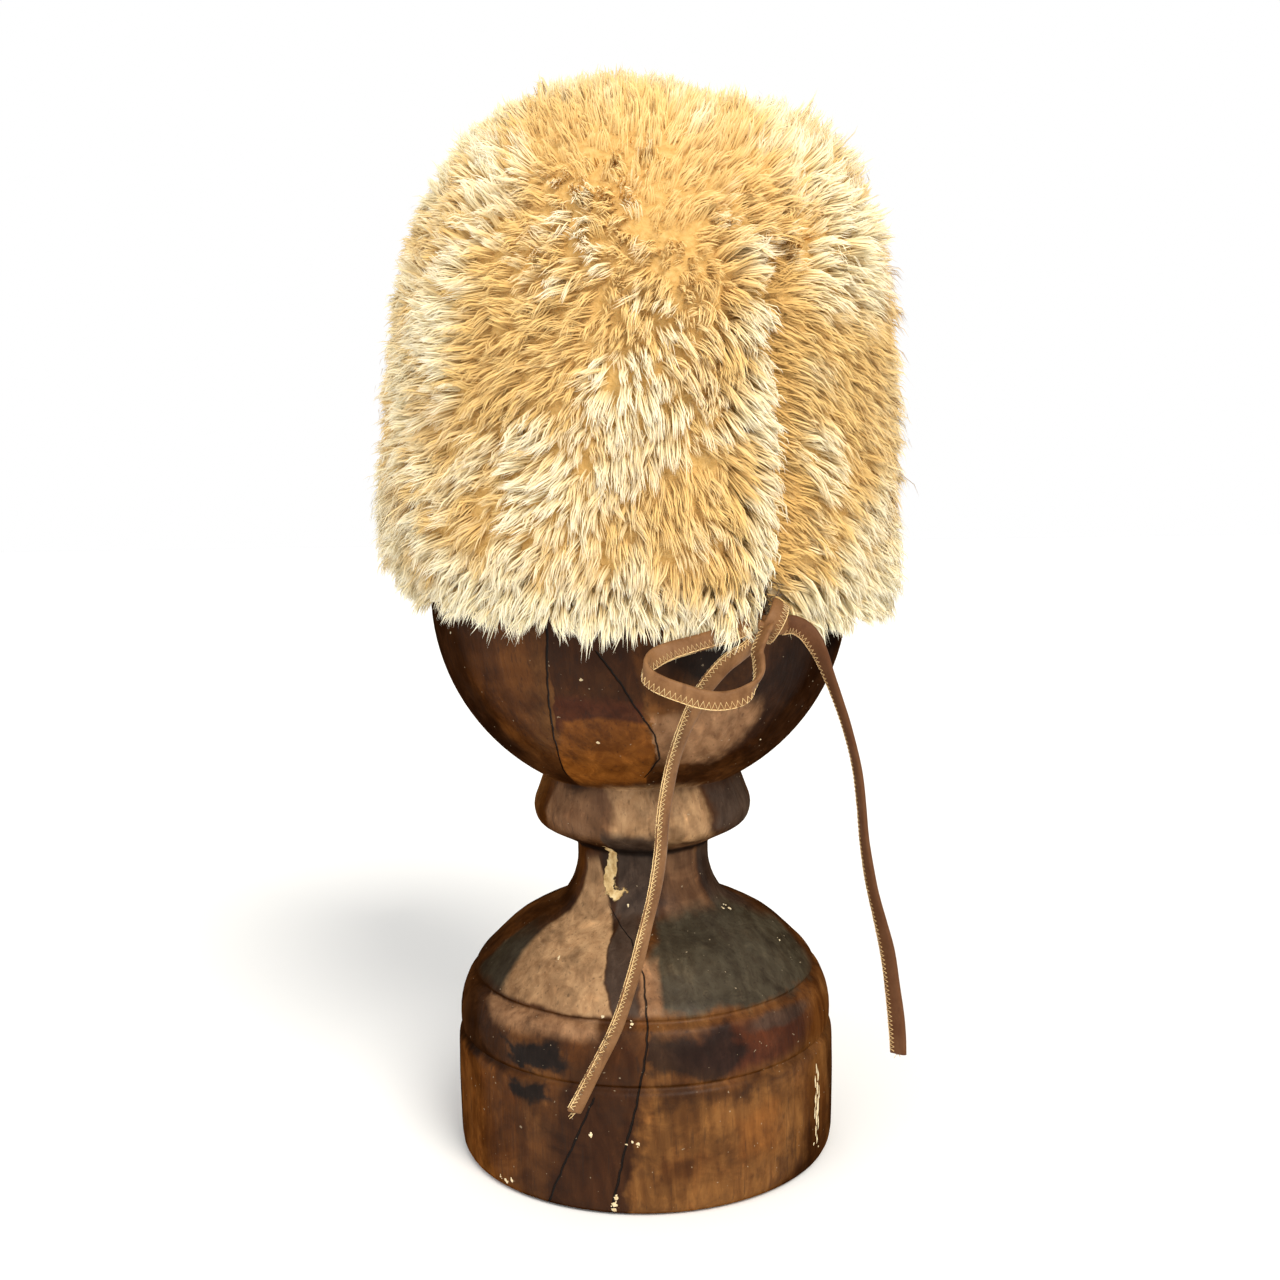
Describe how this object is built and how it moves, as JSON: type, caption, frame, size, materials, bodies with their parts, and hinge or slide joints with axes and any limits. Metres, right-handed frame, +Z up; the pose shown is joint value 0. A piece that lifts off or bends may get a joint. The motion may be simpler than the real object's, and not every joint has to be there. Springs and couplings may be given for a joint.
{
  "type": "faux fur hat on a turned wooden stand",
  "caption": "Tall brimless faux fur hat with a slit back seam and leather ties, resting on the ball of a turned wooden stand.",
  "frame": {"origin": "centre of the flat underside of the stand's foot", "axes": "+Z up along the stand's turning axis, -Y towards the viewer, +X to the viewer's right; the hat's tied slit is at the front right"},
  "size_m": [0.2314, 0.2399, 0.4699],
  "materials": {
    "wood": "dark stained, worn gloss",
    "fur": "deep golden pile",
    "cloth": "matte knitted backing",
    "leather": "soft matte"
  },
  "bodies": {
    "root": {"wooden_stand": "wood", "crown_backing": "cloth", "fur_side_band": "fur", "fur_crown_tip": "fur", "tie_lead": "leather", "tie_knot": "leather", "tie_bow_loop": "leather", "tie_left_tail": "leather", "tie_right_tail": "leather"}
  },
  "joints": []
}
